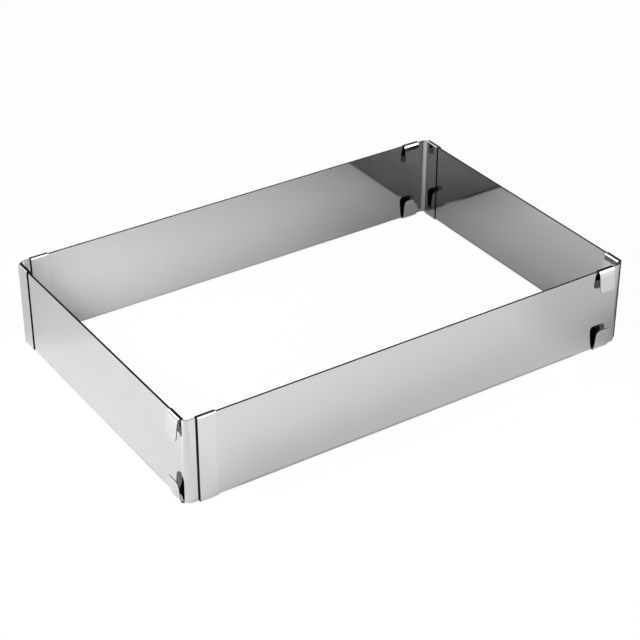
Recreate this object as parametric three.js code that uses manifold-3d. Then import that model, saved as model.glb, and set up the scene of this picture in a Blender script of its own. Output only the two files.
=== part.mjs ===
// Adjustable cake frame. Four corner pieces of polished stainless sheet, each bent once into an L,
// nest so that every wall of the frame is two sheets deep. A guide clip is welded to the end of
// each leg and hooks round the sheet that slides beside it, so the frame draws out in length and
// in width. Millimetres, +Z up. The origin is at the middle of the frame, on the surface that it
// stands on, and the front is the long wall at -Y.

import * as THREE from 'three';
import { mergeVertices } from 'three/addons/utils/BufferGeometryUtils.js';
import Module from 'manifold-3d';

// The frame as it stands, measured over the outer faces of its walls
const FRAME_LENGTH = 281;
const FRAME_WIDTH = 186;
const LENGTH_DRAWN_OUT = 4.5; // how far the long walls stand open, from fully shut

// The corner sheets
const SHEET_HEIGHT = 50;
const SHEET_THICKNESS = 0.45;
const SLIDE_CLEARANCE = 0.3; // between the two sheets of a wall
const BEND_RADIUS = 3.4; // inside of a corner's bend

// The guide clips
const CLIP_WIDTH = 10.5; // along the wall
const CLIP_THICKNESS = 0.45;
const WELD_SEAM = 0.1; // between a clip's strip and the leg that it is welded to
const STRIP_FOLD_RADIUS = 0.15; // inside of the folds beside the welded strip
const FLAP_FOLD_RADIUS = 1.2; // inside of the folds beside the flaps
const FLAP_TUCK = 0.25; // how far short of the wall's far face such a fold begins
const FLAP_ROOT = 2.4; // from the end of its fold to a flap's crease
const FLAP_TONGUE = 9.6; // from the crease to the flap's tip
const ROOT_FLARE = THREE.MathUtils.degToRad(14); // lean of the root away from the wall
const TONGUE_FLARE = THREE.MathUtils.degToRad(6.5); // lean of the tongue away from the wall
const FLAP_CORNER_RADIUS = 2.5; // at the two corners of a flap's tip

const CURVE_STEPS = 8; // straight pieces in each bend and fold
const SHEET_STEEL = { color: 0xc8cacc, roughness: 0.1, metalness: 1 };
const CLIP_STEEL = { color: 0xd2d4d5, roughness: 0.14, metalness: 1 };

// Where the sheets of a wall lie, measured inwards from the wall's outer face
const NEST_OFFSET = SHEET_THICKNESS + SLIDE_CLEARANCE;
const WALL_DEPTH = NEST_OFFSET + SHEET_THICKNESS;
const BEND_OUTER_RADIUS = BEND_RADIUS + SHEET_THICKNESS;

// The sheets' edges lie where the folds of a clip's strip begin, and the clips carry the frame
const SHEET_FOOT = CLIP_THICKNESS + STRIP_FOLD_RADIUS;
const CLIP_HEIGHT = SHEET_HEIGHT + 2 * SHEET_FOOT;

// The two legs of a wall are equally long, so the inner leg ends one nest offset further from its
// corner than the outer leg does. The frame is shut when the inner leg's end has run into the next
// corner's bend by half the clearance between the sheets, or when the outer leg's clip reaches the
// strip of the clip on the next wall.
const BEND_OVERRUN = Math.sqrt(BEND_RADIUS ** 2 - (BEND_RADIUS - SLIDE_CLEARANCE / 2) ** 2);
const BEND_STOP = BEND_OUTER_RADIUS - BEND_OVERRUN;
const STRIP_STOP = WALL_DEPTH + WELD_SEAM + CLIP_THICKNESS + SLIDE_CLEARANCE;
const SHUT_GAP = Math.max(BEND_STOP, STRIP_STOP);

/** A wall's outer length, and the length of its legs when it is drawn out by some way. */
function wall(length, drawnOut) {
  return { length, leg: length - NEST_OFFSET - SHUT_GAP - drawnOut };
}
const LONG_WALL = wall(FRAME_LENGTH, LENGTH_DRAWN_OUT);
const SHORT_WALL = wall(FRAME_WIDTH, 0);

const wasm = await Module();
wasm.setup();

/** A closed geometry as a solid that can be cut. */
function solidOf(geometry) {
  geometry.deleteAttribute('normal');
  geometry.deleteAttribute('uv');
  const merged = mergeVertices(geometry);
  return new wasm.Manifold(new wasm.Mesh({
    numProp: 3,
    vertProperties: new Float32Array(merged.attributes.position.array),
    triVerts: new Uint32Array(merged.index.array),
  }));
}

/** A cut solid as a geometry again. */
function geometryOf(solid) {
  const mesh = solid.getMesh();
  const geometry = new THREE.BufferGeometry();
  geometry.setAttribute('position', new THREE.BufferAttribute(mesh.vertProperties, 3));
  geometry.setIndex(new THREE.BufferAttribute(mesh.triVerts, 1));
  const faceted = geometry.toNonIndexed();
  faceted.computeVertexNormals();
  return faceted;
}

/** An outline drawn out straight by a depth. */
function extruded(outline, depth) {
  return new THREE.ExtrudeGeometry(outline, { depth, bevelEnabled: false, curveSegments: CURVE_STEPS });
}

/** A corner sheet: its inner leg runs along +X and its outer leg along +Y, from one round bend. */
function sheetGeometry(innerLeg, outerLeg) {
  const bendCentre = BEND_OUTER_RADIUS;
  const outline = new THREE.Shape();
  outline.moveTo(innerLeg, 0);
  outline.lineTo(innerLeg, SHEET_THICKNESS);
  outline.absarc(bendCentre, bendCentre, BEND_RADIUS, 1.5 * Math.PI, Math.PI, true);
  outline.lineTo(SHEET_THICKNESS, outerLeg);
  outline.lineTo(0, outerLeg);
  outline.absarc(bendCentre, bendCentre, BEND_OUTER_RADIUS, Math.PI, 1.5 * Math.PI, false);
  outline.closePath();
  return extruded(outline, SHEET_HEIGHT);
}

// The folds of a clip, seen along the wall: x runs from the welded face of the leg towards the
// flaps, and y is the height.
const stripFold = {
  x: STRIP_FOLD_RADIUS - WELD_SEAM,
  low: CLIP_THICKNESS + STRIP_FOLD_RADIUS,
  high: CLIP_HEIGHT - CLIP_THICKNESS - STRIP_FOLD_RADIUS,
  inside: STRIP_FOLD_RADIUS,
  outside: STRIP_FOLD_RADIUS + CLIP_THICKNESS,
};
const flapFold = {
  x: WALL_DEPTH - FLAP_TUCK,
  low: CLIP_THICKNESS + FLAP_FOLD_RADIUS,
  high: CLIP_HEIGHT - CLIP_THICKNESS - FLAP_FOLD_RADIUS,
  inside: FLAP_FOLD_RADIUS,
  outside: FLAP_FOLD_RADIUS + CLIP_THICKNESS,
};

/** A point of a clip's section, from its place beside the upper flap's fold or mirrored to the lower. */
function flapPoint(beside) {
  return { x: flapFold.x + beside.x, low: flapFold.low - beside.y, high: flapFold.high + beside.y };
}

/** The crease and the tip of a flap's face that lies a depth outside its inner face. */
function flapFace(depth) {
  const out = (lean) => new THREE.Vector2(Math.cos(lean), Math.sin(lean));
  const down = (lean) => new THREE.Vector2(Math.sin(lean), -Math.cos(lean));
  const crease = out(ROOT_FLARE).multiplyScalar(flapFold.inside);
  crease.addScaledVector(down(ROOT_FLARE), FLAP_ROOT);
  const tip = crease.clone().addScaledVector(down(TONGUE_FLARE), FLAP_TONGUE);
  tip.addScaledVector(out(TONGUE_FLARE), depth);
  const meanFlare = (ROOT_FLARE + TONGUE_FLARE) / 2;
  crease.addScaledVector(out(meanFlare), depth / Math.cos(ROOT_FLARE - meanFlare));
  return { crease: flapPoint(crease), tip: flapPoint(tip) };
}

/** The section of a clip: a strip folded at both ends into a flange and a creased, flared flap. */
function clipSection() {
  const right = Math.PI / 2;
  const inner = flapFace(0);
  const outer = flapFace(CLIP_THICKNESS);
  const section = new THREE.Shape();
  section.moveTo(outer.tip.x, outer.tip.low);
  section.lineTo(outer.crease.x, outer.crease.low);
  section.absarc(flapFold.x, flapFold.low, flapFold.outside, -ROOT_FLARE, -right, true);
  section.absarc(stripFold.x, stripFold.low, stripFold.outside, -right, -2 * right, true);
  section.absarc(stripFold.x, stripFold.high, stripFold.outside, 2 * right, right, true);
  section.absarc(flapFold.x, flapFold.high, flapFold.outside, right, ROOT_FLARE, true);
  section.lineTo(outer.crease.x, outer.crease.high);
  section.lineTo(outer.tip.x, outer.tip.high);
  section.lineTo(inner.tip.x, inner.tip.high);
  section.lineTo(inner.crease.x, inner.crease.high);
  section.absarc(flapFold.x, flapFold.high, flapFold.inside, ROOT_FLARE, right, false);
  section.absarc(stripFold.x, stripFold.high, stripFold.inside, right, 2 * right, false);
  section.absarc(stripFold.x, stripFold.low, stripFold.inside, 2 * right, 3 * right, false);
  section.absarc(flapFold.x, flapFold.low, flapFold.inside, -right, -ROOT_FLARE, false);
  section.lineTo(inner.crease.x, inner.crease.low);
  section.lineTo(inner.tip.x, inner.tip.low);
  section.closePath();
  return section;
}

/** The window between a clip's two flaps, seen square to the wall, whose corners round their tips. */
function flapWindow() {
  const right = Math.PI / 2;
  const { tip } = flapFace(CLIP_THICKNESS);
  const side = CLIP_THICKNESS; // the window runs past the clip's ends by this much
  const near = FLAP_CORNER_RADIUS;
  const far = CLIP_WIDTH - FLAP_CORNER_RADIUS;
  const low = tip.low - FLAP_CORNER_RADIUS;
  const high = tip.high + FLAP_CORNER_RADIUS;
  const outline = new THREE.Shape();
  outline.moveTo(-side, low);
  outline.absarc(near, low, FLAP_CORNER_RADIUS, 2 * right, right, true);
  outline.absarc(far, low, FLAP_CORNER_RADIUS, right, 0, true);
  outline.lineTo(CLIP_WIDTH + side, low);
  outline.lineTo(CLIP_WIDTH + side, high);
  outline.absarc(far, high, FLAP_CORNER_RADIUS, 0, -right, true);
  outline.absarc(near, high, FLAP_CORNER_RADIUS, -right, -2 * right, true);
  outline.lineTo(-side, high);
  outline.closePath();
  const reach = tip.x + CLIP_THICKNESS;
  const cutter = extruded(outline, reach - WALL_DEPTH);
  cutter.rotateY(-Math.PI / 2);
  cutter.translate(reach, 0, 0);
  return cutter;
}

/** A guide clip that stands upright, with its strip at x = 0 and its width running along -Y. */
function clipGeometry() {
  const folded = solidOf(extruded(clipSection(), CLIP_WIDTH));
  const trimmed = geometryOf(folded.subtract(solidOf(flapWindow())));
  trimmed.rotateX(Math.PI / 2);
  return trimmed;
}

/** A named piece with a steel of its own. */
function piece(name, geometry, steel) {
  const mesh = new THREE.Mesh(geometry, new THREE.MeshStandardMaterial(steel));
  mesh.name = name;
  return mesh;
}

/** One corner of the frame: its bent sheet, with a clip on the end of each leg. */
function cornerPiece(name, innerWall, outerWall) {
  const corner = new THREE.Group();

  const sheet = piece(`${name}_sheet`, sheetGeometry(innerWall.leg, outerWall.leg), SHEET_STEEL);
  sheet.position.z = SHEET_FOOT;

  const innerClip = piece(`${name}_inner_clip`, clipGeometry(), CLIP_STEEL);
  innerClip.position.set(innerWall.leg, SHEET_THICKNESS, 0);
  innerClip.rotation.z = -Math.PI / 2;

  const outerClip = piece(`${name}_outer_clip`, clipGeometry(), CLIP_STEEL);
  outerClip.position.set(0, outerWall.leg, 0);

  corner.add(sheet, innerClip, outerClip);
  corner.position.set(-innerWall.length / 2, NEST_OFFSET - outerWall.length / 2, 0);
  return corner;
}

// The corners follow each other round the frame, and each one is the last one turned by a right
// angle, with the long and the short wall changing places.
const cakeFrame = new THREE.Group();
['front_left', 'front_right', 'back_right', 'back_left'].forEach((name, quarter) => {
  const innerRunsLong = quarter % 2 === 0;
  const innerWall = innerRunsLong ? LONG_WALL : SHORT_WALL;
  const outerWall = innerRunsLong ? SHORT_WALL : LONG_WALL;
  const turned = new THREE.Group();
  turned.rotation.z = quarter * Math.PI / 2;
  turned.add(cornerPiece(name, innerWall, outerWall));
  cakeFrame.add(turned);
});

export default cakeFrame;
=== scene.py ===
"""Looks of the adjustable cake frame: polished corner sheets and folded clips in a soft studio."""

import logging
import math
from collections.abc import Callable, Iterable, Mapping, Sequence
from dataclasses import dataclass, field
from enum import Enum
from typing import Any

import bpy
from mathutils import Matrix, Vector


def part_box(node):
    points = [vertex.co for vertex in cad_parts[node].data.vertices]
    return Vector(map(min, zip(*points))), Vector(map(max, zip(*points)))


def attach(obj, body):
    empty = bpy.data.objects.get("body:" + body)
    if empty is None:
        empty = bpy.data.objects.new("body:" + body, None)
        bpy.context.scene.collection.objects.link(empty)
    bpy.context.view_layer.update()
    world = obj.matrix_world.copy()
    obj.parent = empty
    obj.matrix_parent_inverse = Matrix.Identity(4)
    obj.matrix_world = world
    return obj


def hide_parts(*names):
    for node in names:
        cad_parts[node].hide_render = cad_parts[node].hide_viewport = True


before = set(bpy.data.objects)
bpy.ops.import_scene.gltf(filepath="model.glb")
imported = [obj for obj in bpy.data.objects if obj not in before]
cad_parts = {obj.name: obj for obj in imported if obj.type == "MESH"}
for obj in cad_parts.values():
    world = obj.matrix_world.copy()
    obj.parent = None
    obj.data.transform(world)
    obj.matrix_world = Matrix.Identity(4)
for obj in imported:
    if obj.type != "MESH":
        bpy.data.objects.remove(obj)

log = logging.getLogger("cake_frame")

Band = tuple[float, float]  # where something starts and where it ends
Triple = tuple[float, float, float]  # a place or a way in space
Colour = tuple[float, float, float]
MeshCorner = tuple[int, Vector, Vector, float]  # point, normal, unrolled place, share of cut edge

MM = 0.001
RIGHT_ANGLE = math.pi / 2
NOWHERE: Triple = (0.0, 0.0, 0.0)
RIGHT: Triple = (1.0, 0.0, 0.0)
BACK: Triple = (0.0, 1.0, 0.0)
WHITE: Colour = (1.0, 1.0, 1.0)

BEND_STEPS = 24  # straight pieces in a corner's bend
FOLD_STEPS = 14  # straight pieces in a clip's fold
TIP_STEPS = 10  # straight pieces in a flap's round corner
CREASE_STEPS = 4  # straight pieces in a flap's crease
EDGE_STEPS = 3  # straight pieces in a dulled edge
# The edge mask also carries the painted shade of the gaps beside the sheared edges.
EDGE_RISE = 2.0  # how soon a dulled edge turns from polished face to cut metal

MIX_FIRST, MIX_SECOND, MIX_RESULT = 6, 7, 2  # a Mix node's colour sockets, whose names repeat
SKY_SAMPLES = 8  # rays by which the floor finds how much open sky it has
UNSCATTERED: Band = (0.0, 1.0)  # from no scattering on a ray's way to the first
MIRRORINGS: Band = (1.0, 2.0)  # from the first mirroring on a ray's way to the second


class Leg(Enum):
    """The two legs of a corner sheet, named for where they lie in their walls."""

    INNER = "inner"
    OUTER = "outer"


class Slot(Enum):
    """The record's material slots."""

    SHEET = "sheet_steel"
    CLIP = "clip_steel"


# Shader trees


class Signal:
    """A socket that takes part in Python expressions, adding a Math node for each operation."""

    def __init__(self, tree: "ShaderTree", socket: bpy.types.NodeSocket) -> None:
        """Wraps an output socket of a tree."""
        self.tree = tree
        self.socket = socket

    def _math(self, operation: str, first: Any, second: Any) -> "Signal":
        """One Math node on two values, each a signal or a number."""
        return self.tree.add("ShaderNodeMath", {"operation": operation}, {0: first, 1: second})

    def __add__(self, other: Any) -> "Signal":
        """This value plus another."""
        return self._math("ADD", self, other)

    __radd__ = __add__

    def __sub__(self, other: Any) -> "Signal":
        """This value less another."""
        return self._math("SUBTRACT", self, other)

    def __rsub__(self, other: Any) -> "Signal":
        """Another value less this one."""
        return self._math("SUBTRACT", other, self)

    def __mul__(self, other: Any) -> "Signal":
        """This value times another."""
        return self._math("MULTIPLY", self, other)

    __rmul__ = __mul__


class ShaderTree:
    """A material's or a world's node tree, emptied and ready to be written."""

    def __init__(self, owner: bpy.types.Material | bpy.types.World) -> None:
        """Empties a node tree.

        Args:
            owner: The material or the world that the tree belongs to.
        """
        owner.use_nodes = True
        self.nodes = owner.node_tree.nodes
        self.links = owner.node_tree.links
        self.nodes.clear()

    def add(
        self,
        kind: str,
        settings: Mapping[str, Any] | None = None,
        inputs: Mapping[str | int, Any] | None = None,
        output: str | int = 0,
    ) -> Signal:
        """Adds a node.

        Args:
            kind: The node's type.
            settings: The node's own properties, set first; "stops" are a ramp's places and levels.
            inputs: What its sockets take, by name or number: a signal to link or a value to set.
            output: The output socket to return.

        Returns:
            That output as a signal; a node without outputs gives its first input.
        """
        node = self.nodes.new(kind)
        for name, value in (settings or {}).items():
            if name == "stops":
                self._set_stops(node.color_ramp, value)
            else:
                setattr(node, name, value)
        for key, value in (inputs or {}).items():
            if isinstance(value, Signal):
                self.links.new(value.socket, node.inputs[key])
            else:
                node.inputs[key].default_value = value
        return Signal(self, node.outputs[output] if node.outputs else node.inputs[0])

    @staticmethod
    def _set_stops(ramp: bpy.types.ColorRamp, stops: Sequence[Band]) -> None:
        """Sets a ramp of greys.

        Args:
            ramp: The ramp.
            stops: The place and the level of each stop.
        """
        while len(ramp.elements) < len(stops):
            ramp.elements.new(1.0)
        for element, (place, level) in zip(ramp.elements, stops):
            element.position = place
            element.color = (level, level, level, 1.0)

    def mix_colours(self, factor: Any, first: Any, second: Any) -> Signal:
        """A colour between two, by a factor."""
        sockets = {"Factor": factor, MIX_FIRST: first, MIX_SECOND: second}
        return self.add("ShaderNodeMix", {"data_type": "RGBA"}, sockets, MIX_RESULT)

    def vector(
        self, operation: str, first: Signal, second: Any = NOWHERE, output: str | int = 0
    ) -> Signal:
        """One Vector Math node on a vector and, where it takes two, a second one or numbers."""
        sockets = {0: first, 1: second}
        return self.add("ShaderNodeVectorMath", {"operation": operation}, sockets, output)

    def scaled(self, vector: Signal, scale: Triple) -> Signal:
        """A vector multiplied axis by axis."""
        return self.vector("MULTIPLY", vector, scale)

    def dot(self, vector: Signal, way: Triple) -> Signal:
        """How far a vector goes in a way."""
        return self.vector("DOT_PRODUCT", vector, way, "Value")

    def length(self, vector: Signal) -> Signal:
        """A vector's length."""
        return self.vector("LENGTH", vector, output="Value")

    def mix_shaders(self, factor: Signal, first: Signal, second: Signal) -> Signal:
        """A shader between two, by a factor."""
        return self.add("ShaderNodeMixShader", inputs={0: factor, 1: first, 2: second})

    def ramp(self, value: Signal, start: float, end: float) -> Signal:
        """A smooth rise from 0 to 1 while a value goes from a start to an end."""
        sockets = {"Value": value, "From Min": start, "From Max": end}
        return self.add("ShaderNodeMapRange", {"interpolation_type": "SMOOTHSTEP"}, sockets)

    def noise(self, vector: Signal, detail: float) -> Signal:
        """Smooth noise on a vector, with one feature for each unit of length."""
        sockets = {"Vector": vector, "Scale": 1.0, "Detail": detail}
        return self.add("ShaderNodeTexNoise", inputs=sockets)


# Finishes


def rgba(colour: Colour) -> tuple[float, float, float, float]:
    """A colour with full opacity."""
    return (*colour, 1.0)


@dataclass(frozen=True)
class PolishedSteel:
    """Mirror-polished stainless: faint rolled grain, hand smudges, and near-black sheared edges,
    partly cut metal and partly painted gap shade.
    """

    name: str
    light: Colour  # on the crests of the grain
    dark: Colour  # in the troughs of the grain
    roughness: float
    grain_length: float = 24 * MM
    grain_pitch: float = 0.3 * MM
    grain_detail: float = 2.0
    grain_roughness: float = 0.015
    grain_depth: float = 0.000004 * MM
    smudge_size: float = 32 * MM
    smudge_detail: float = 3.0
    smudge_stops: tuple[Band, Band] = ((0.5, 0.0), (0.75, 1.0))  # where smudges begin and are full
    smudge_roughness: float = 0.03
    wave_length: float = 70 * MM
    wave_detail: float = 1.0
    wave_height: float = 0.02 * MM
    # Painted shade: the sheared edges are near black, partly for the cut metal and partly for the
    # shadow in the gaps between layers.
    cut_and_gap_shade_colour: Colour = (0.022, 0.022, 0.023)
    edge_roughness: float = 0.42

    def material(self) -> bpy.types.Material:
        """Writes the steel's shader.

        Returns:
            The material, which reads the strip's own length and width from its mesh.
        """
        made = bpy.data.materials.new(self.name)
        tree = ShaderTree(made)
        unrolled = tree.add("ShaderNodeAttribute", {"attribute_name": "unrolled"}, output="Vector")
        cut = tree.add("ShaderNodeAttribute", {"attribute_name": "cut_edge"}, output="Fac")
        grain, smudge, wave = (
            tree.noise(tree.scaled(unrolled, (1 / length, 1 / pitch, 1.0)), detail)
            for length, pitch, detail in (
                (self.grain_length, self.grain_pitch, self.grain_detail),
                (self.smudge_size, self.smudge_size, self.smudge_detail),
                (self.wave_length, self.wave_length, self.wave_detail),
            )
        )
        smudged = tree.add("ShaderNodeValToRGB", {"stops": self.smudge_stops}, {0: smudge})

        face_colour = tree.mix_colours(grain, rgba(self.dark), rgba(self.light))
        # The cut edges take the near-black colour: cut metal plus painted shade of the gaps beside
        # them.
        colour = tree.mix_colours(cut, face_colour, rgba(self.cut_and_gap_shade_colour))
        face_roughness = self.roughness + self.grain_roughness * grain
        face_roughness = face_roughness + self.smudge_roughness * smudged
        roughness = face_roughness * (1 - cut) + self.edge_roughness * cut
        height = wave * self.wave_height + grain * self.grain_depth
        relief = {"Strength": 1.0, "Distance": 1.0, "Height": height}
        steel = tree.add(
            "ShaderNodeBsdfPrincipled",
            inputs={
                "Base Color": colour,
                "Roughness": roughness,
                "Metallic": 1.0,
                "Normal": tree.add("ShaderNodeBump", inputs=relief),
            },
        )
        tree.add("ShaderNodeOutputMaterial", inputs={"Surface": steel})
        return made


# Bent strips of metal


def heading(angle: float) -> Vector:
    """The unit vector in a plane at an angle from its first axis."""
    return Vector((math.cos(angle), math.sin(angle)))


@dataclass(frozen=True)
class Station:
    """One place along a bent strip: a point of its middle line and the way its face looks there."""

    distance: float
    point: Vector
    face: Vector


@dataclass
class MiddleLine:
    """The middle line of a bent strip, drawn in a plane as straight runs and round bends."""

    start: Vector
    heading: float
    stations: list[Station] = field(default_factory=list)

    def __post_init__(self) -> None:
        """Puts the first station at the start."""
        self.place = self.start
        self.length = 0.0
        self._mark()

    def _mark(self) -> None:
        """Adds a station where the line has got to, facing to the right of its heading."""
        face = heading(self.heading - RIGHT_ANGLE)
        self.stations.append(Station(self.length, self.place.copy(), face))

    def curve(self, length: float, turn: float, marks: Iterable[float] = ()) -> "MiddleLine":
        """Goes on while turning evenly.

        Args:
            length: How far to go.
            turn: The angle to turn through on the way, positive to the left.
            marks: Distances on the way at which to leave a station as well.

        Returns:
            The line itself.
        """
        gone = 0.0
        for stop in [*marks, length]:
            part = stop - gone
            half_turn = turn * part / length / 2
            chord = part * math.sin(half_turn) / half_turn if half_turn else part
            self.heading += half_turn
            self.place = self.place + chord * heading(self.heading)
            self.heading += half_turn
            self.length += part
            gone = stop
            self._mark()
        return self

    def straight(self, length: float, marks: Iterable[float] = ()) -> "MiddleLine":
        """Goes straight on for a length, with stations at the marks as well."""
        return self.curve(length, 0.0, marks)

    def bend(self, radius: float, turn: float, steps: int) -> "MiddleLine":
        """Goes round a bend, given its radius, the angle, positive to the left, and its pieces."""
        length = radius * abs(turn)
        return self.curve(length, turn, [length * step / steps for step in range(1, steps)])


@dataclass
class MeshDraft:
    """A mesh in the making, whose corners carry exact normals and the strip's own measures."""

    points: list[Vector] = field(default_factory=list)
    faces: list[tuple[int, ...]] = field(default_factory=list)
    normals: list[Vector] = field(default_factory=list)
    unrolled: list[Vector] = field(default_factory=list)
    cut_edge: list[float] = field(default_factory=list)

    def face(self, corners: Sequence[MeshCorner]) -> None:
        """Adds a face.

        Args:
            corners: Its corners, in order.
        """
        self.faces.append(tuple(corner[0] for corner in corners))
        for _, normal, unrolled, cut in corners:
            self.normals.append(normal)
            self.unrolled.append(unrolled)
            self.cut_edge.append(cut)

    def piece(self, name: str) -> bpy.types.Object:
        """Makes the drafted mesh an object.

        Args:
            name: The object's name.

        Returns:
            The object, linked to the scene.
        """
        mesh = bpy.data.meshes.new(name)
        mesh.from_pydata([tuple(p) for p in self.points], [], self.faces)
        unrolled = mesh.attributes.new("unrolled", "FLOAT_VECTOR", "CORNER")
        unrolled.data.foreach_set("vector", [value for v in self.unrolled for value in v])
        cut = mesh.attributes.new("cut_edge", "FLOAT", "CORNER")
        cut.data.foreach_set("value", self.cut_edge)
        mesh.polygons.foreach_set("use_smooth", [True] * len(self.faces))
        mesh.normals_split_custom_set([tuple(n.normalized()) for n in self.normals])
        mesh.update()
        made = bpy.data.objects.new(name, mesh)
        bpy.context.scene.collection.objects.link(made)
        return made


@dataclass(frozen=True)
class BentStrip:
    """A strip of sheet metal: a middle line with a thickness, drawn across to a width."""

    line: MiddleLine
    thickness: float
    width: float
    edge_radius: float
    tip_radius: float  # of the strip's four corners before it is folded

    def _inset(self, distance: float) -> float:
        """How far the strip's sides draw in beside its round corners.

        Args:
            distance: How far along the strip.

        Returns:
            The distance of each side from where it is elsewhere.
        """
        from_end = min(distance, self.line.length - distance)
        if from_end >= self.tip_radius:
            return 0.0
        short = self.tip_radius - from_end
        return self.tip_radius - math.sqrt(max(self.tip_radius**2 - short**2, 0.0))

    def _section(self, inset: float) -> list[tuple[float, float, float, float]]:
        """The strip's section, round the clock.

        Args:
            inset: How far its sides are drawn in.

        Returns:
            For each point: offset towards the face, place across, and the angle of its normal from
            the face towards the far side, with the share of cut edge last.
        """
        half = self.thickness / 2 - self.edge_radius
        near, far = inset + self.edge_radius, self.width - inset - self.edge_radius
        centres = ((half, far), (-half, far), (-half, near), (half, near))
        points = []
        for quarter, (centre_offset, centre_across) in enumerate(centres):
            for step in range(EDGE_STEPS + 1):
                angle = (quarter + step / EDGE_STEPS) * RIGHT_ANGLE
                offset = centre_offset + self.edge_radius * math.cos(angle)
                across = centre_across + self.edge_radius * math.sin(angle)
                points.append((offset, across, angle, min(EDGE_RISE * abs(math.sin(angle)), 1.0)))
        return points

    def draft(self, place: Callable[[Vector, float], Vector]) -> MeshDraft:
        """Draws the strip out.

        Args:
            place: Gives the point in space for a vector in the line's plane and a place across.

        Returns:
            The closed mesh, ready to become an object.
        """
        made = MeshDraft()
        origin = place(Vector((0.0, 0.0)), 0.0)
        across_way = place(Vector((0.0, 0.0)), 1.0) - origin
        rings: list[list[MeshCorner]] = []
        for station in self.line.stations:
            face = place(station.face, 0.0) - origin
            ring = []
            for offset, across, angle, cut in self._section(self._inset(station.distance)):
                made.points.append(place(station.point + offset * station.face, across))
                normal = math.cos(angle) * face + math.sin(angle) * across_way
                unrolled = Vector((station.distance, across, math.copysign(1.0, offset)))
                ring.append((len(made.points) - 1, normal, unrolled, cut))
            rings.append(ring)
        flat_x, flat_y = (place(Vector(axis), 0.0) - origin for axis in ((1.0, 0.0), (0.0, 1.0)))
        order = 1 if flat_x.cross(flat_y).dot(across_way) > 0 else -1
        count = len(rings[0])
        for first, second in zip(rings, rings[1:]):
            for index in range(count):
                after = (index + 1) % count
                made.face((first[index], second[index], second[after], first[after])[::order])
        for ring, way in ((rings[0], -1), (rings[-1], 1)):
            end = self._end_normal(way, place)
            made.face([(corner[0], end, corner[2], 1.0) for corner in ring[:: -way * order]])
        return made

    def _end_normal(self, way: int, place: Callable[[Vector, float], Vector]) -> Vector:
        """The outward direction at an end of the strip.

        Args:
            way: -1 for the first end, 1 for the last one.
            place: As for the draft.

        Returns:
            A unit vector in space.
        """
        face = self.line.stations[0 if way < 0 else -1].face
        along = Vector((-face.y, face.x))
        return way * (place(along, 0.0) - place(Vector((0.0, 0.0)), 0.0))


# The frame's sub-assemblies


@dataclass(frozen=True)
class SheetSizes:
    """Sizes of a corner sheet."""

    thickness: float = 0.45 * MM
    bend_radius: float = 3.4 * MM
    edge_radius: float = 0.04 * MM
    nest_offset: float = 0.75 * MM  # from one sheet's outer face to the next one's, in a wall


@dataclass(frozen=True)
class ClipSizes:
    """Sizes of a guide clip."""

    width: float = 10.5 * MM
    thickness: float = 0.45 * MM
    weld_seam: float = 0.1 * MM
    strip_fold_radius: float = 0.4 * MM  # a little rounder than the CAD's
    flap_fold_radius: float = 1.2 * MM
    flap_tuck: float = 0.25 * MM  # how far short of the wall's far face such a fold begins
    flap_root: float = 2.4 * MM  # from the end of its fold to a flap's crease
    flap_tongue: float = 9.6 * MM  # from the crease to the flap's tip
    root_flare: float = math.radians(14)
    tongue_flare: float = math.radians(6.5)
    crease_radius: float = 2.0 * MM
    tip_ease: float = 0.02 * MM  # by which the dressed flap ends inside the CAD's
    flap_corner_radius: float = 2.5 * MM
    edge_radius: float = 0.04 * MM


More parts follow.
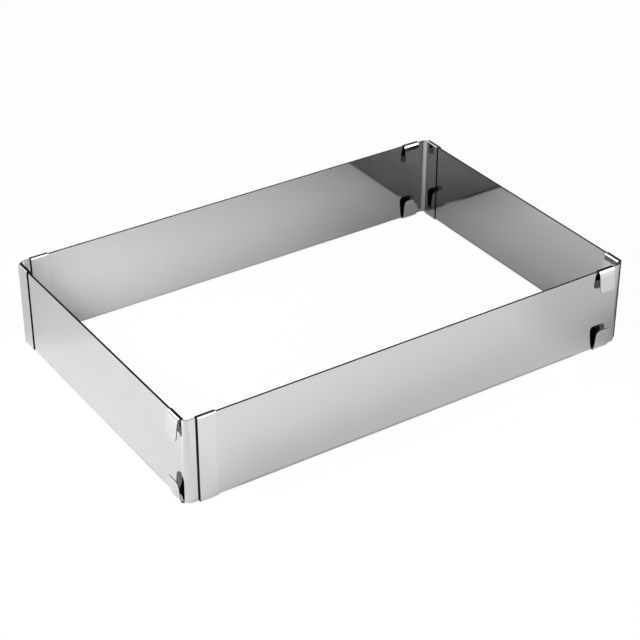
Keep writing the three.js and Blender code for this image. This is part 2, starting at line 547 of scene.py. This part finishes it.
@dataclass
class CornerPiece:
    """One corner of the frame: a bent sheet with a guide clip on the end of each leg."""

    body: str
    quarter: int  # right angles that the corner is turned by, from the front left one
    sheet_sizes: SheetSizes = field(default_factory=SheetSizes)
    clip_sizes: ClipSizes = field(default_factory=ClipSizes)

    def __post_init__(self) -> None:
        """Reads the corner's place and its legs' lengths from the frame."""
        low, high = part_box(f"{self.body}_sheet")
        corner_x = low.x if self.quarter in (0, 3) else high.x
        corner_y = low.y if self.quarter in (0, 1) else high.y
        extent = high - low
        runs_long = self.quarter % 2 == 0
        self.inner_leg = extent.x if runs_long else extent.y
        self.outer_leg = extent.y if runs_long else extent.x
        self.sheet_foot, self.sheet_height = low.z, extent.z
        turn = Matrix.Rotation(self.quarter * RIGHT_ANGLE, 4, "Z")
        self.placement = Matrix.Translation((corner_x, corner_y, 0.0)) @ turn

    def build_sheet(self) -> bpy.types.Object:
        """Bends the corner's sheet.

        Returns:
            The sheet, in place.
        """
        sizes = self.sheet_sizes
        bend_reach = sizes.bend_radius + sizes.thickness
        line = MiddleLine(Vector((self.inner_leg, sizes.thickness / 2)), math.pi)
        line.straight(self.inner_leg - bend_reach)
        line.bend(sizes.bend_radius + sizes.thickness / 2, -RIGHT_ANGLE, BEND_STEPS)
        line.straight(self.outer_leg - bend_reach)
        strip = BentStrip(line, sizes.thickness, self.sheet_height, sizes.edge_radius, 0.0)
        foot = self.sheet_foot
        draft = strip.draft(lambda flat, across: Vector((flat.x, flat.y, foot + across)))
        piece = draft.piece(f"{self.body}_polished_sheet")
        return self._placed(piece, f"{self.body}_sheet")

    def _clip_line(self) -> MiddleLine:
        """The section of a clip, from the tip of its lower flap round the strip to the upper tip.

        Returns:
            The middle line, with x from the welded face towards the flaps and y as the height.
        """
        sizes = self.clip_sizes
        height = self.sheet_height + 2 * self.sheet_foot
        wall_depth = self.sheet_sizes.nest_offset + self.sheet_sizes.thickness
        flap_fold = sizes.flap_fold_radius + sizes.thickness / 2
        strip_fold = sizes.strip_fold_radius + sizes.thickness / 2
        fold_x = wall_depth - sizes.flap_tuck
        fold_y = sizes.thickness + sizes.flap_fold_radius
        fold_turn = RIGHT_ANGLE - sizes.root_flare
        crease = sizes.root_flare - sizes.tongue_flare
        mitre = math.tan(crease / 2) * sizes.thickness / 2
        root, tongue = sizes.flap_root + mitre, sizes.flap_tongue + mitre - sizes.tip_ease
        tip = Vector((fold_x, fold_y)) + flap_fold * heading(-sizes.root_flare)
        tip += root * heading(RIGHT_ANGLE - sizes.root_flare)
        tip += tongue * heading(RIGHT_ANGLE - sizes.tongue_flare)
        eased = math.tan(crease / 2) * sizes.crease_radius
        flange = fold_x - (sizes.strip_fold_radius - sizes.weld_seam)
        marks = [
            sizes.flap_corner_radius * (1 - math.cos(step / TIP_STEPS * RIGHT_ANGLE))
            for step in range(1, TIP_STEPS + 1)
        ]
        line = MiddleLine(tip, -RIGHT_ANGLE - sizes.tongue_flare)
        line.straight(tongue - eased, marks)
        line.bend(sizes.crease_radius, -crease, CREASE_STEPS)
        line.straight(root - eased)
        line.bend(flap_fold, -fold_turn, FOLD_STEPS)
        line.straight(flange)
        line.bend(strip_fold, -RIGHT_ANGLE, FOLD_STEPS)
        line.straight(height - 2 * (sizes.thickness + sizes.strip_fold_radius))
        line.bend(strip_fold, -RIGHT_ANGLE, FOLD_STEPS)
        line.straight(flange)
        line.bend(flap_fold, -fold_turn, FOLD_STEPS)
        line.straight(root - eased)
        line.bend(sizes.crease_radius, -crease, CREASE_STEPS)
        line.straight(tongue - eased, [tongue - eased - mark for mark in reversed(marks)])
        return line

    def build_clip(self, leg: Leg) -> bpy.types.Object:
        """Folds the guide clip of a leg.

        Args:
            leg: The leg whose end carries the clip.

        Returns:
            The clip, in place.
        """
        sizes = self.clip_sizes
        strip = BentStrip(
            self._clip_line(),
            sizes.thickness,
            sizes.width,
            sizes.edge_radius,
            sizes.flap_corner_radius,
        )
        if leg is Leg.INNER:
            near, face = self.inner_leg - sizes.width, self.sheet_sizes.thickness
            draft = strip.draft(lambda flat, across: Vector((near + across, face - flat.x, flat.y)))
        else:
            end = self.outer_leg
            draft = strip.draft(lambda flat, across: Vector((flat.x, end - across, flat.y)))
        name = f"{self.body}_{leg.value}"
        return self._placed(draft.piece(f"{name}_folded_clip"), f"{name}_clip")

    def _placed(self, piece: bpy.types.Object, node: str) -> bpy.types.Object:
        """Puts a piece at its corner, on its body.

        Args:
            piece: The piece.
            node: The node in whose stead it is shown.

        Returns:
            The piece itself.
        """
        piece.matrix_world = self.placement
        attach(piece, self.body)
        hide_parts(node)
        return piece

    def dress(self, finishes: Mapping[Slot, bpy.types.Material]) -> None:
        """Builds the corner's pieces and gives each its steel.

        Args:
            finishes: The steel of each slot.
        """
        pieces = {
            self.build_sheet(): Slot.SHEET,
            self.build_clip(Leg.INNER): Slot.CLIP,
            self.build_clip(Leg.OUTER): Slot.CLIP,
        }
        for piece, slot in pieces.items():
            piece.data.materials.append(finishes[slot])
            log.info("%s: %d faces", piece.name, len(piece.data.polygons))


# The studio


def direction(azimuth: float, elevation: float) -> Vector:
    """The unit vector towards an azimuth, in degrees from the front to the right, and elevation."""
    a, e = math.radians(azimuth), math.radians(elevation)
    return Vector((math.sin(a) * math.cos(e), -math.cos(a) * math.cos(e), math.sin(e)))


@dataclass(frozen=True)
class Softbox:
    """A soft lamp that looks at the middle of the frame."""

    name: str
    azimuth: float  # in degrees; 0 is the front, 90 the right
    elevation: float
    distance: float
    width: float
    height: float
    power: float
    mirrored: bool = True  # whether the steel shows it

    def hang(self) -> None:
        """Adds the lamp to the scene."""
        lamp = bpy.data.lights.new(self.name, "AREA")
        lamp.shape = "RECTANGLE"
        lamp.size = self.width
        lamp.size_y = self.height
        lamp.energy = self.power
        made = bpy.data.objects.new(self.name, lamp)
        way = direction(self.azimuth, self.elevation)
        made.visible_glossy = self.mirrored
        made.location = way * self.distance
        made.rotation_euler = way.to_track_quat("Z", "Y").to_euler()
        bpy.context.scene.collection.objects.link(made)


@dataclass(frozen=True)
class DimPatch:
    """A patch of painted shade on the floor, darker as though the lamps reached it less, which only
    the steel shows.
    """

    centre: Triple
    half: Triple  # from the centre to the sides of the rectangle at its heart
    core: float  # how far round that rectangle the shade is full
    rim: float  # how far round it the shade ends
    shade: float

    def light(self, tree: ShaderTree, place: Signal) -> Signal:
        """The share of the pale paint that the painted shade leaves on the floor.

        Args:
            tree: The floor's tree.
            place: The place on the floor.

        Returns:
            A share from 0 to 1.
        """
        beside = tree.vector("ABSOLUTE", tree.vector("SUBTRACT", place, self.centre))
        outside = tree.vector("MAXIMUM", tree.vector("SUBTRACT", beside, self.half), NOWHERE)
        return 1 - self.shade * (1 - tree.ramp(tree.length(outside), self.core, self.rim))


@dataclass(frozen=True)
class Studio:
    """The pale floor, the soft lights and the camera."""

    floor_size: float = 12.0
    floor_drop: float = 0.1 * MM
    floor_colour: Colour = (0.9, 0.9, 0.9)
    # The colour of the painted shade mixed into the floor: the foot, wall, deep and patch shades,
    # and the contact shadow.
    shade_colour: Colour = (0.04, 0.04, 0.04)
    camera_lift: float = 0.97  # share of plain white in the floor, as the camera sees it
    white_from: Band = (0.3, 0.55)  # distance from the middle at which the steel sees it white
    deep_shade: float = 0.6  # how much darker the floor is in the second and later mirrorings
    wall_reach: float = 80 * MM  # how far the walls' soft shade spreads on the floor
    wall_open: Band = (0.5, 1.0)  # open sky at which that shade ends
    wall_shade: float = 0.12
    foot_reach: float = 4 * MM  # how far from the walls the steel still mirrors a darker foot
    foot_open: Band = (0.58, 0.85)  # open sky at which that darker foot ends
    foot_from: Band = (-0.142, -0.139)  # x at which it begins, as lamps light the left wall's foot
    foot_corner: tuple[Band, Band] = ((0.105, 0.118), (0.062, 0.075))  # x and y where clips end it
    contact_reach: float = 1.8 * MM  # how far the contact shadow spreads
    contact_open: Band = (0.2, 0.5)  # open sky at which the contact shadow ends
    contact_shade: float = 0.5  # how much of that shadow the camera sees
    # For each patch: its centre, half, core, rim and shade.
    dim_patches: tuple[DimPatch, ...] = (
        DimPatch((0.165, -0.12, 0.0), NOWHERE, 0.03, 0.07, 0.2),
        DimPatch((0.2, 0.02, 0.0), (0.0, 0.07, 0.0), 0.03, 0.09, 0.5),
        DimPatch((0.18, -0.068, 0.0), (0.02, 0.02, 0.0), 0.005, 0.048, 0.36),
        DimPatch((-0.165, -0.125, 0.0), NOWHERE, 0.03, 0.06, 0.2),
        DimPatch((-0.185, 0.135, 0.0), NOWHERE, 0.05, 0.075, 0.17),
    )
    dome_level: float = 0.02
    flag_side: Triple = (0.62, 0.6, 0.5)  # where the steel sees a dark flag
    flag_edge: Band = (0.72, 0.8)  # cosines from that way at which it ends
    # For each lamp: its name, azimuth, elevation, distance, width, height and power.
    softboxes: tuple[Softbox, ...] = (
        Softbox("left_front_softbox", -75.0, 35.0, 0.5, 0.14, 0.14, 0.79),
        Softbox("left_softbox", -95.0, 42.0, 0.5, 0.12, 0.12, 0.7),
        Softbox("left_back_softbox", -115.0, 45.0, 0.5, 0.12, 0.12, 0.34),
        Softbox("back_left_softbox", -140.0, 42.0, 0.8, 0.25, 0.25, 0.91),
        Softbox("back_right_softbox", 130.0, 50.0, 1.2, 0.5, 0.5, 1.6, mirrored=False),
        Softbox("front_right_softbox", 40.0, 10.0, 1.2, 1.3, 0.4, 19.6),
        Softbox("front_right_top_softbox", 46.0, 25.0, 1.2, 0.6, 0.5, 5.5),
    )
    camera_place: Triple = (-484.27 * MM, -733.41 * MM, 557.92 * MM)
    camera_azimuth: float = -33.423
    camera_elevation: float = 31.794
    sensor_width: float = 36.0  # in millimetres, as the lens
    lens: float = 102.88

    @staticmethod
    def _views(tree: ShaderTree) -> tuple[Signal, Signal]:
        """How a ray has come to the floor or the sky.

        Args:
            tree: The floor's or the world's tree.

        Returns:
            Whether it is the camera's, and whether it shows them in the steel: mirrored or let
            through, and not scattered on its way.
        """
        seen, mirrored, through, scattered = (
            tree.add("ShaderNodeLightPath", output=name)
            for name in ("Is Camera Ray", "Is Glossy Ray", "Is Transmission Ray", "Diffuse Depth")
        )
        return seen, (mirrored + through) * (1 - tree.ramp(scattered, *UNSCATTERED))

    @staticmethod
    def _open_sky(tree: ShaderTree, reach: float) -> Signal:
        """The share of the sky that nothing within a reach hides from the floor."""
        settings, sockets = {"samples": SKY_SAMPLES}, {"Distance": reach}
        return tree.add("ShaderNodeAmbientOcclusion", settings, sockets, output="AO")

    def _foot_shade(self, tree: ShaderTree, place: Signal) -> Signal:
        """The shade along the walls' feet.

        Args:
            tree: The floor's tree.
            place: The place on the floor.

        Returns:
            How deep the shade is, from 0 to 1; none on the left, or beside the clips at rest.
        """
        shade = 1 - tree.ramp(self._open_sky(tree, self.foot_reach), *self.foot_open)
        begun = tree.ramp(tree.dot(place, RIGHT), *self.foot_from)
        out = tree.vector("ABSOLUTE", place)
        along, across = (
            tree.ramp(tree.dot(out, axis), *band)
            for axis, band in zip((RIGHT, BACK), self.foot_corner)
        )
        return shade * begun * (1 - along * across)

    def _painted_floor_light(self, tree: ShaderTree, place: Signal) -> Signal:
        """The share of pale paint, against the painted shade, in the floor that the steel mirrors.

        Args:
            tree: The floor's tree.
            place: The place on the floor.

        Returns:
            A share from 0 to 1.
        """
        deep = tree.ramp(tree.add("ShaderNodeLightPath", output="Glossy Depth"), *MIRRORINGS)
        light = (1 - self.deep_shade * deep) * (1 - self._foot_shade(tree, place) * (1 - deep))
        wall = 1 - tree.ramp(self._open_sky(tree, self.wall_reach), *self.wall_open)
        light = light * (1 - self.wall_shade * wall)
        for patch in self.dim_patches:
            light = light * patch.light(tree, place)
        return light

    def _floor_paint(self) -> bpy.types.Material:
        """Writes the floor's shader.

        Returns:
            The material, white to the camera and lit paint with painted shade to the steel beside
            the frame.
        """
        made = bpy.data.materials.new("studio_floor_paint")
        tree = ShaderTree(made)
        seen, shown = self._views(tree)
        place = tree.add("ShaderNodeNewGeometry", output="Position")
        far = tree.ramp(tree.length(place), *self.white_from)
        clear = tree.ramp(self._open_sky(tree, self.contact_reach), *self.contact_open)
        paint, shade = (
            tree.add("ShaderNodeBsdfDiffuse", inputs={"Color": rgba(colour)})
            for colour in (self.floor_colour, self.shade_colour)
        )
        white = tree.add("ShaderNodeEmission", inputs={"Strength": 1.0})
        shaded = tree.mix_shaders(self._painted_floor_light(tree, place), shade, paint)
        lift = seen * self.camera_lift * (1 - self.contact_shade * (1 - clear)) + shown * far
        surface = tree.mix_shaders(lift, shaded, white)
        tree.add("ShaderNodeOutputMaterial", inputs={"Surface": surface})
        return made

    def lay_floor(self) -> None:
        """Lays the floor, which is white to the camera and keeps the frame's shadow."""
        half = self.floor_size / 2
        corners = [(-half, -half), (half, -half), (half, half), (-half, half)]
        mesh = bpy.data.meshes.new("studio_floor")
        mesh.from_pydata([(x, y, -self.floor_drop) for x, y in corners], [], [(0, 1, 2, 3)])
        mesh.materials.append(self._floor_paint())
        floor = bpy.data.objects.new("studio_floor", mesh)
        bpy.context.scene.collection.objects.link(floor)

    def light(self) -> None:
        """Hangs the softboxes under an even, dim dome, which the camera and the steel see white."""
        world = bpy.data.worlds.new("studio_dome")
        bpy.context.scene.world = world
        tree = ShaderTree(world)
        seen, shown = self._views(tree)
        way = tree.add("ShaderNodeTexCoord", output="Generated")
        flagged = tree.ramp(tree.dot(way, self.flag_side), *self.flag_edge)
        dim, white = (
            tree.add("ShaderNodeBackground", inputs={"Color": rgba(WHITE), "Strength": strength})
            for strength in (self.dome_level, 1.0)
        )
        surface = tree.mix_shaders(seen + shown * (1 - flagged), dim, white)
        tree.add("ShaderNodeOutputWorld", inputs={"Surface": surface})
        for softbox in self.softboxes:
            softbox.hang()

    def aim_camera(self) -> None:
        """Sets the camera at the photograph's viewing angle."""
        data = bpy.data.cameras.new("photo_camera")
        data.lens = self.lens
        data.sensor_width = self.sensor_width
        camera = bpy.data.objects.new("photo_camera", data)
        camera.location = self.camera_place
        way = direction(self.camera_azimuth, self.camera_elevation)
        camera.rotation_euler = (-way).to_track_quat("-Z", "Y").to_euler()
        bpy.context.scene.collection.objects.link(camera)
        bpy.context.scene.camera = camera

    def set_up(self) -> None:
        """Makes the whole studio, with colours shown as they are written."""
        bpy.context.scene.view_settings.view_transform = "Standard"
        self.aim_camera()
        self.lay_floor()
        self.light()


FINISHES = {
    Slot.SHEET: PolishedSteel(
        "polished_sheet_steel", light=(0.68, 0.68, 0.685), dark=(0.65, 0.65, 0.655), roughness=0.05
    ),
    Slot.CLIP: PolishedSteel(
        "polished_clip_steel", light=(0.71, 0.71, 0.715), dark=(0.68, 0.68, 0.685), roughness=0.07
    ),
}
CORNERS = ("front_left", "front_right", "back_right", "back_left")


def main() -> None:
    """Builds the studio and the frame."""
    logging.basicConfig(level=logging.INFO, format="%(name)s: %(message)s")
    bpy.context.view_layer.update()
    Studio().set_up()
    finishes = {slot: finish.material() for slot, finish in FINISHES.items()}
    for quarter, body in enumerate(CORNERS):
        CornerPiece(body, quarter).dress(finishes)


if __name__ == "__main__":
    main()
